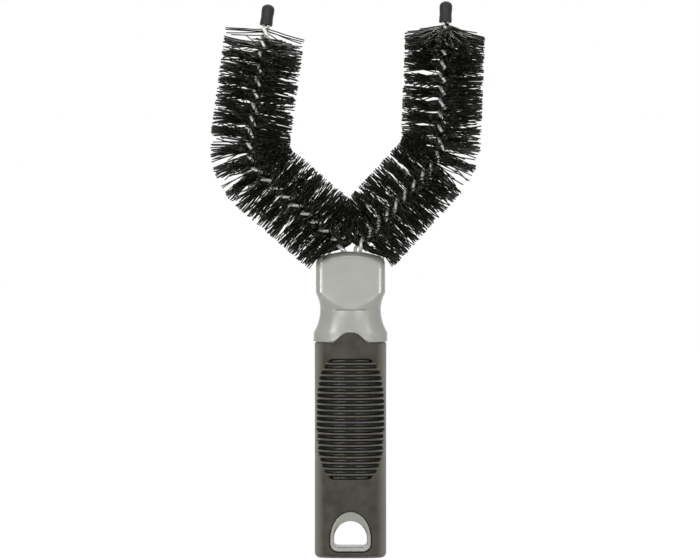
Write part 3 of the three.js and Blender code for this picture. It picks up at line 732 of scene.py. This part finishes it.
# Handle core
def core_rings():
    """From the spine's lower end up inside the rubber, out to the lip of the flare and up to the crown."""
    def lip_height(turn, inset):
        return seam_height(neck_point(turn, GRIP_LENGTH, inset=inset).x) + GAP / 2

    rings = []
    for share in steps(0, 1, count=16):
        def spine(turn, s=share):
            top = seam_height(grip_point(turn, GRIP_LENGTH, inset=GRIP_WALL).x) + GAP / 2
            return grip_point(turn, mix(BUTT_WALL, top, s), inset=GRIP_WALL)
        rings.append(spine)
    for angle in quarter_turns(count=5):
        inset, rise = LIP_ROUND * (1 - math.sin(angle)), LIP_ROUND * (1 - math.cos(angle))
        rings.append(lambda turn, i=inset, r=rise: neck_point(
            turn, lip_height(turn, i) + r, inset=i - LIP_BEAD))
    bead_top = LIP_ROUND + LIP_BEAD_HEIGHT
    for rise in steps(LIP_ROUND, bead_top, count=6)[1:]:
        swell = LIP_BEAD * (1 - smoothstep(LIP_ROUND, bead_top, rise))
        rings.append(lambda turn, s=swell, r=rise: neck_point(turn, lip_height(turn, 0) + r, inset=-s))
    crease_low, crease_high = WAIST_HEIGHT - CREASE_HEIGHT / 2, WAIST_HEIGHT + CREASE_HEIGHT / 2
    for share in steps(0, 1, count=26)[1:]:
        rings.append(lambda turn, s=share: neck_point(
            turn, mix(lip_height(turn, 0) + bead_top, crease_low, s)))
    crease = steps(crease_low, crease_high, count=4)[1:]
    swelling = steps(crease_high, HEAD_BASE, count=18)[1:]
    for height in crease + swelling:
        rings.append(lambda turn, h=height: neck_point(turn, h))
    for share in steps(0, 1, count=12)[1:]:
        rings.append(lambda turn, s=share: neck_point(
            turn, mix(HEAD_BASE, head_point(turn, CROWN_EDGE).z, s)))
    for angle in quarter_turns(count=36)[1:]:
        rings.append(lambda turn, d=CROWN_EDGE * (1 - math.sin(angle)): head_point(turn, d))

    def crown(turn, share):
        x, y, _ = share * head_point(turn, 0)
        return Vector((x, y, head_top(x)))

    rounded = SHOULDER_ROUND / (HEAD_WIDTH / 2)
    for angle in quarter_turns(count=14)[1:]:
        rings.append(lambda turn, s=1 - rounded * (1 - math.cos(angle)): crown(turn, s))
    for share in steps(1 - rounded, CROWN_MIDDLE, count=10)[1:]:
        rings.append(lambda turn, s=share: crown(turn, s))
    return rings


def eye_rim():
    """The moulded rim of the eye: a flat lip just under the rubber, straight sides and a sloping brow. The
    sill has a step on the front. Each ring has its margins at the sides, the sill and the brow, and its
    share of the rim's depth."""
    outside = (EYE_RIM, EYE_SILL, EYE_RIM + EYE_BROW)
    lip = [(*outside, 0.6), (*outside, 0.955), (2.13, 1.33, 5.12, 0.985), (1.98, 1.2, 5, 1),
           (0.85, 0.5, 4.85, 1), (0.7, 0.36, 4.7, 0.985)]
    slope = [(0.62, 0.28, 4.4, 0.97), (0.5, 0.18, 3.1, 0.92), (0.4, 0.08, 1.6, 0.86),
             (0.33, 0.03, 0.75, 0.82), (0.3, 0, 0.55, 0.76)]
    step = [(sides, EYE_STEP, brow, depth) for sides, _, brow, depth in slope]
    narrowest = (0.3, 0, 0.5)
    under_step = [(0.3, EYE_STEP, 0.5, 0.3), (0.3, 0.02, 0.5, 0.24), (*narrowest, 0.22)]
    hole = [(*narrowest, 0.1)]

    def ring_at(sides, sill, brow, depth, face):
        def ring(turn):
            x, z = eye_point(turn, sides, sill, brow)
            return Vector((x, face * depth * (grip_front(x, z) - EYE_RECESS), z))
        return ring

    front = [ring_at(*sizes, -1) for sizes in lip + step + under_step]
    back = [ring_at(*sizes, 1) for sizes in reversed(lip + slope + hole)]
    shape = loft(front + back, EYE_SEGMENTS)
    ends = [face for face in shape.faces if len(face.verts) == EYE_SEGMENTS]
    loops = [edge for face in ends for edge in face.edges]
    bmesh.ops.delete(shape, geom=ends, context="FACES_ONLY")
    bmesh.ops.bridge_loops(shape, edges=loops)
    bmesh.ops.recalc_face_normals(shape, faces=shape.faces)
    return shape


def handle_core():
    hole_ends = [beyond_grip(-SPINE_LAP, -1), beyond_grip(-SPINE_LAP, 1)]
    hole = mesh_of(loft(hole_ends, EYE_SEGMENTS), "spine_hole")
    core = cut(mesh_of(loft(core_rings(), NECK_SEGMENTS), "core"), hole)
    rim = mesh_of(eye_rim(), "eye_rim")
    both = bmesh.new()
    both.from_mesh(core)
    both.from_mesh(rim)
    both.to_mesh(core)
    both.free()
    add_piece("silver_core", smooth(core), [silver_abs()], "handle_core")


# Stems
class Route:
    """A flat line in X and Z, made of straight runs and bends and followed by its length.
    A heading is an angle from +Z towards +X."""

    def __init__(self, x, z, heading):
        self.end = (x, z, heading)
        self.length = 0
        self.runs = []

    def straight(self, length):
        self.add(length, 0)

    def bend(self, radius, heading):
        turn = heading - self.end[2]
        self.add(radius * abs(turn), math.copysign(1 / radius, turn))

    def add(self, length, curve):
        self.runs.append((self.length, self.end, curve))
        self.length += length
        self.end = self.at(self.length)

    def at(self, distance):
        start, (x, z, heading), curve = [run for run in self.runs if run[0] <= max(0, distance)][-1]
        along = distance - start
        ahead = heading + curve * along
        if curve == 0:
            return x + along * math.sin(ahead), z + along * math.cos(ahead), ahead
        x += (math.cos(heading) - math.cos(ahead)) / curve
        z += (math.sin(ahead) - math.sin(heading)) / curve
        return x, z, ahead


class Stem:
    """One stem from its foot inside the head to the crown of its cap."""

    def __init__(self, side, splay, lean, run, rise, turn, bare, tuft_drop, tuft_spread, tuft_thinning,
                 tuft_crowd):
        foot = HEAD_WIDTH / 2 - FOOT_COVER
        self.side = side
        self.tuft_drop = tuft_drop
        self.tuft_spread = tuft_spread
        self.tuft_thinning = tuft_thinning
        self.tuft_crowd = tuft_crowd
        self.route = Route(side * foot, HANDLE_LENGTH - FOOT_DEPTH, -side * math.pi / 2)
        self.route.straight(foot - STEM_OFFSET - FOOT_BEND)
        self.route.bend(FOOT_BEND, 0)
        self.route.straight(FOOT_DEPTH - FOOT_BEND - ROOT_DEPTH)
        self.brush_start = self.route.length + ROOT_DEPTH + bare
        self.route.bend(ROOT_BEND, side * math.radians(splay))
        self.root_end = self.route.length
        self.route.straight(run)
        elbow_start = self.route.length
        self.route.bend(ELBOW_BEND, side * math.radians(lean))
        self.elbow = (elbow_start + self.route.length) / 2
        self.route.straight(rise)
        self.turn = math.radians(turn)
        self.mouth = self.route.length - CAP_LENGTH

    def axes(self, distance):
        """The point on the stem's line, and its sideways and forward directions."""
        x, z, heading = self.route.at(distance)
        sideways = Vector((math.cos(heading), 0, -math.sin(heading)))
        forward = Vector((math.sin(heading), 0, math.cos(heading)))
        return Vector((x, 0, z)), sideways, forward

    def twist(self, distance):
        return self.turn - 2 * math.pi * (distance - self.root_end) / TWIST_PITCH


def around(sideways, angle):
    """The direction at an angle around a stem, from its side towards the back."""
    return math.cos(angle) * sideways + math.sin(angle) * Vector((0, 1, 0))


def stem_wires(stem, name, material):
    end = stem.route.length - CAP_END - GAP
    count = math.ceil(end / TWIST_PITCH * TURN_STEPS)
    for letter, phase in (("a", 0), ("b", math.pi)):
        line = []
        for distance in steps(0, end, count):
            middle, sideways, _ = stem.axes(distance)
            angle = stem.twist(distance) + phase
            line.append(middle + WIRE_ORBIT * around(sideways, angle))
        mesh = tubes([line], WIRE_DIAMETER / 2, resolution=5)
        mesh.shade_smooth()
        node = f"{name}_stem_wire_{letter}"
        add_piece(f"{name}_wire_{letter}", mesh, [material], node)


# Bristles
def clear_of_parts(stem, point, crossing):
    """Whether a point of a strand is clear of the head, crosses the middle plane no further than it may and
    lies inside the part's own box."""
    if stem.side * point.x < crossing:
        return False
    over_crown = point.z - head_top(min(abs(point.x), HEAD_WIDTH / 2))
    over_head = abs(point.x) < HEAD_WIDTH / 2 + HEAD_GAP
    in_head = over_head and abs(point.y) < HEAD_FACE_DEPTH / 2 + HEAD_GAP
    if in_head and over_crown < HEAD_GAP or over_head and over_crown < -HEAD_LAP:
        return False
    inset = FILAMENT_DIAMETER / 2
    return all(low + inset < place < high - inset for low, place, high in zip(cad_low, point, cad_high))


def strand(stem, distance, slot, lean, chance):
    """The points of one strand. It leaves the stem in the slot between the wires, fans out from it, is
    pressed down under the cap and is cut off where it meets a part."""
    middle, sideways, forward = stem.axes(distance)
    under_cap = max(0, 1 - (stem.mouth - BARE_TIP - distance) / TUFT_LENGTH)
    spread = math.radians(FAN_SPREAD + stem.tuft_spread * under_cap)
    fan = chance.uniform(-spread, spread)
    tilt = math.tan(math.radians(chance.gauss(0, STRAND_TILT)))
    bow = chance.gauss(0, STRAND_BOW)
    length = BRUSH_RADIUS * (1 - abs(chance.gauss(0, STRAND_SCATTER)))
    if chance.random() < CUT_SHORT:
        length *= chance.uniform(*CUT_LENGTHS)
    facing = abs(math.sin(slot + fan))
    drop = stem.tuft_drop * under_cap * chance.uniform(*TUFT_SCATTER)
    drop *= 1 + TUFT_FACING * facing * chance.random()
    sway = 1 - TUFT_STIFFNESS * min(1, under_cap * stem.tuft_drop / TUFT_PRESS)
    crossing = chance.uniform(*CROSSING)

    def place(reach):
        share = reach / BRUSH_RADIUS
        angle = slot + fan * smoothstep(0, FAN_REACH, reach)
        swayed = sway * (tilt * reach + (bow + lean) * share * share)
        along = swayed - drop * (1 - math.exp(-reach / TUFT_FALL))
        return middle + around(sideways, angle) * reach + forward * along

    def points(length):
        shares = [share ** STRAND_SPACING for share in steps(0, 1, STRAND_STEPS)]
        return [place(mix(STRAND_START, length, share)) for share in shares]

    def clear(length):
        return all(clear_of_parts(stem, point, crossing) for point in points(length))

    while length > STRAND_SHORTEST and not clear(length):
        length -= STRAND_TRIM
    return points(length) if length > STRAND_SHORTEST else []


def brush(stem, name, start, end, material, chance):
    """One run of strands along a stem, scattered by chance and drawn together in clumps."""
    lines = []
    leans = {}
    crowd = stem.tuft_crowd if end > stem.elbow else 0
    for _ in range(round((end + crowd - start) * FILAMENTS_PER_MM)):
        distance = chance.uniform(start, end + crowd)
        if distance > end:
            distance = mix(end, distance, -CROWD_FOLD)
        thinning = stem.tuft_thinning
        thinned = smoothstep(-THINNING_LEAD * thinning, thinning, stem.mouth - distance)
        if chance.random() > thinned ** THINNING_CURVE:
            continue
        clump = round(distance / CLUMP_LENGTH)
        pull = CLUMP_PULL * (clump * CLUMP_LENGTH - distance)
        bent = 1 - smoothstep(0, ELBOW_REACH, abs(distance - stem.elbow))
        beside = distance - stem.elbow
        pull += ELBOW_PULL * bent * (ELBOW_CLUMP * round(beside / ELBOW_CLUMP) - beside)
        pull += HEAD_PUSH * (1 - smoothstep(0, HEAD_PUSH_LENGTH, distance - stem.brush_start))
        for opposite in (0, 1):
            if (clump, opposite) not in leans:
                angle = math.radians(chance.gauss(0, CLUMP_LEAN))
                leans[clump, opposite] = BRUSH_RADIUS * math.tan(angle)
            slot = stem.twist(distance) + math.pi * (0.5 + opposite)
            points = strand(stem, distance, slot, leans[clump, opposite] + pull, chance)
            if points:
                lines.append(points)
    mesh = tubes(lines, FILAMENT_DIAMETER / 2, resolution=0)
    mesh.shade_smooth()
    add_piece(f"{name}_strands", mesh, [material], f"{name}_bristles")


# Tip caps
def tip_cap(stem, name, material):
    """A dipped cap: a closed sleeve with a domed end and a bevelled mouth, drawn in at its middle."""
    shape = bmesh.new()
    outline = [(0, -CAP_END), (CAP_BORE, -CAP_END), (CAP_BORE, -CAP_LENGTH + CAP_BEVEL_SHORT),
               (CAP_BORE + CAP_BEVEL, -CAP_LENGTH), (CAP_RADIUS - CAP_BEVEL_SHORT, -CAP_LENGTH),
               (CAP_RADIUS, -CAP_LENGTH + CAP_BEVEL)]
    for height in steps(-CAP_LENGTH + CAP_MOUTH, -CAP_DOME, count=10):
        drawn_in = CAP_WAIST * math.sin(math.pi * smoothstep(-CAP_LENGTH, -CAP_DOME, height)) ** 2
        outline.append((CAP_RADIUS - drawn_in, height))
    for angle in quarter_turns(count=8)[1:]:
        outline.append((CAP_RADIUS * math.cos(angle), CAP_DOME * (math.sin(angle) - 1)))
    verts = [shape.verts.new((radius, 0, height)) for radius, height in outline]
    edges = [shape.edges.new(pair) for pair in zip(verts, verts[1:])]
    bmesh.ops.spin(shape, geom=verts + edges, axis=(0, 0, 1), cent=(0, 0, 0), angle=2 * math.pi,
                   steps=CAP_SEGMENTS, use_merge=True)
    bmesh.ops.remove_doubles(shape, verts=shape.verts, dist=SAME_PLACE)
    bmesh.ops.recalc_face_normals(shape, faces=shape.faces)
    x, z, heading = stem.route.end
    place = Matrix.Translation((x, 0, z)) @ Matrix.Rotation(heading, 4, "Y")
    bmesh.ops.transform(shape, matrix=place, verts=shape.verts)
    mesh = smooth(mesh_of(shape, name))
    add_piece(f"{name}_vinyl_cap", mesh, [material], f"{name}_tip_cap")


# Studio
def seen_directly(tree):
    """1 for rays from the camera and for those that a surface mirrors or lets through, 0 for all others."""
    path = add_node(tree, "ShaderNodeLightPath")
    eye = add_node(tree, "ShaderNodeMath", operation="MAXIMUM",
                   links={0: path.outputs["Is Camera Ray"], 1: path.outputs["Is Glossy Ray"]})
    seen = add_node(tree, "ShaderNodeMath", operation="MAXIMUM",
                    links={0: eye.outputs["Value"], 1: path.outputs["Is Transmission Ray"]})
    return seen.outputs["Value"]


def studio_world():
    """White behind the object and in its reflections. Its light comes from the sides and from above, so
    that what faces forward is a little darker than the white."""
    world = bpy.data.worlds.new("studio")
    world.use_nodes = True
    bpy.context.scene.world = world
    tree = world.node_tree
    tree.nodes.clear()
    direction = add_node(tree, "ShaderNodeTexCoord").outputs["Generated"]
    axis = add_node(tree, "ShaderNodeSeparateXYZ", links={"Vector": direction})
    ahead = add_node(tree, "ShaderNodeMath", links={0: axis.outputs["Y"]}, operation="ABSOLUTE")
    limits = {"From Max": TENT_EDGE, "To Min": TENT_LIGHT, "To Max": TENT_LEAST}
    tent = add_node(tree, "ShaderNodeMapRange", limits, {"Value": ahead.outputs["Value"]},
                    interpolation_type="SMOOTHSTEP")
    strength = add_node(tree, "ShaderNodeMath", operation="MAXIMUM",
                        links={0: seen_directly(tree), 1: tent.outputs["Result"]})
    background = add_node(tree, "ShaderNodeBackground", {"Color": (1, 1, 1, 1)},
                          {"Strength": strength.outputs["Value"]})
    add_node(tree, "ShaderNodeOutputWorld", links={"Surface": background.outputs["Background"]})


def studio_floor():
    """White paper, seen as white less the shadow that the object casts on it."""
    shape = bmesh.new()
    bmesh.ops.create_grid(shape, x_segments=2, y_segments=2, size=FLOOR_HALF)
    floor = bpy.data.objects.new("floor", mesh_of(shape, "floor"))
    bpy.context.scene.collection.objects.link(floor)
    floor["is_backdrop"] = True
    material = bpy.data.materials.new("white_paper")
    material.use_nodes = True
    tree = material.node_tree
    tree.nodes.clear()
    paper = add_node(tree, "ShaderNodeBsdfDiffuse", {"Color": linear("#cccccc")})
    shaded = add_node(tree, "ShaderNodeBsdfDiffuse", {"Color": linear("#8c8c8c")})
    glow = add_node(tree, "ShaderNodeEmission", {"Strength": 0.93})
    seen = add_node(tree, "ShaderNodeAddShader",
                    links={0: shaded.outputs["BSDF"], 1: glow.outputs["Emission"]})
    choice = add_node(tree, "ShaderNodeMixShader",
                      links={0: seen_directly(tree), 1: paper.outputs["BSDF"], 2: seen.outputs["Shader"]})
    add_node(tree, "ShaderNodeOutputMaterial", links={"Surface": choice.outputs["Shader"]})
    floor.data.materials.append(material)


def area_light(name, place, width, height, watts):
    """A lamp that points at the top of the handle. Its place and its sizes are in metres."""
    target = Vector((0, 0, HANDLE_LENGTH * MM))
    light = bpy.data.lights.new(name, "AREA")
    light.shape = "RECTANGLE"
    light.size = width
    light.size_y = height
    light.energy = watts
    lamp = bpy.data.objects.new(name, light)
    lamp.location = place
    lamp.rotation_euler = (target - Vector(place)).to_track_quat("-Z", "Y").to_euler()
    bpy.context.scene.collection.objects.link(lamp)


def studio_lights():
    """Low strips and higher keys on both sides in front, and softboxes in front, behind and overhead."""
    front = (0, -1.1, 1.25)
    area_light("left_strip", (-0.42, -1.2, 0.06), width=0.42, height=0.1, watts=3.4)
    area_light("right_strip", (0.42, -1.2, 0.06), width=0.42, height=0.1, watts=2.8)
    area_light("left_key", (-0.74, -1.1, 0.6), width=0.4, height=0.4, watts=3)
    area_light("right_key", (0.85, -1.1, 0.6), width=0.4, height=0.4, watts=1.3)
    area_light("front_softbox", front, width=1.4, height=0.8, watts=1.8)
    area_light("front_strip", front, width=1.2, height=0.08, watts=2.6)
    area_light("back_softbox", (0, 1.1, 1.25), width=1.4, height=0.8, watts=10)
    area_light("overhead_softbox", (0, -0.1, 1.5), width=1.6, height=1.2, watts=2)


def camera():
    """Level and straight in front. At the handle's axis, a pixel of the picture is as large as given."""
    lens = bpy.data.cameras.new("camera")
    lens.sensor_width = SENSOR_WIDTH
    lens.lens = SENSOR_WIDTH * CAMERA_DISTANCE / (PIXEL_SIZE * PICTURE_WIDTH)
    view = bpy.data.objects.new("camera", lens)
    view.location = (CAMERA_ACROSS * MM, -CAMERA_DISTANCE * MM, CAMERA_HEIGHT * MM)
    view.rotation_euler = (math.pi / 2, 0, 0)
    bpy.context.scene.collection.objects.link(view)
    bpy.context.scene.camera = view


camera()
studio_world()
studio_floor()
studio_lights()
bpy.context.scene.view_settings.view_transform = "Standard"

grip_sleeve()
handle_core()
steel, nylon, vinyl = galvanised_steel_painted_bright(), black_nylon(), dark_vinyl()
chance = random.Random(STRAND_SEED)
for name, sizes in (("left", LEFT), ("right", RIGHT)):
    stem = Stem(**sizes)
    stem_wires(stem, name, steel)
    brush(stem, f"{name}_lower", stem.brush_start, stem.elbow, nylon, chance)
    brush(stem, f"{name}_upper", stem.elbow, stem.mouth - BARE_TIP, nylon, chance)
    tip_cap(stem, name, vinyl)

sizes = {"cad": [list(corner) for corner in cad_box], "visual": [list(corner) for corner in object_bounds()]}
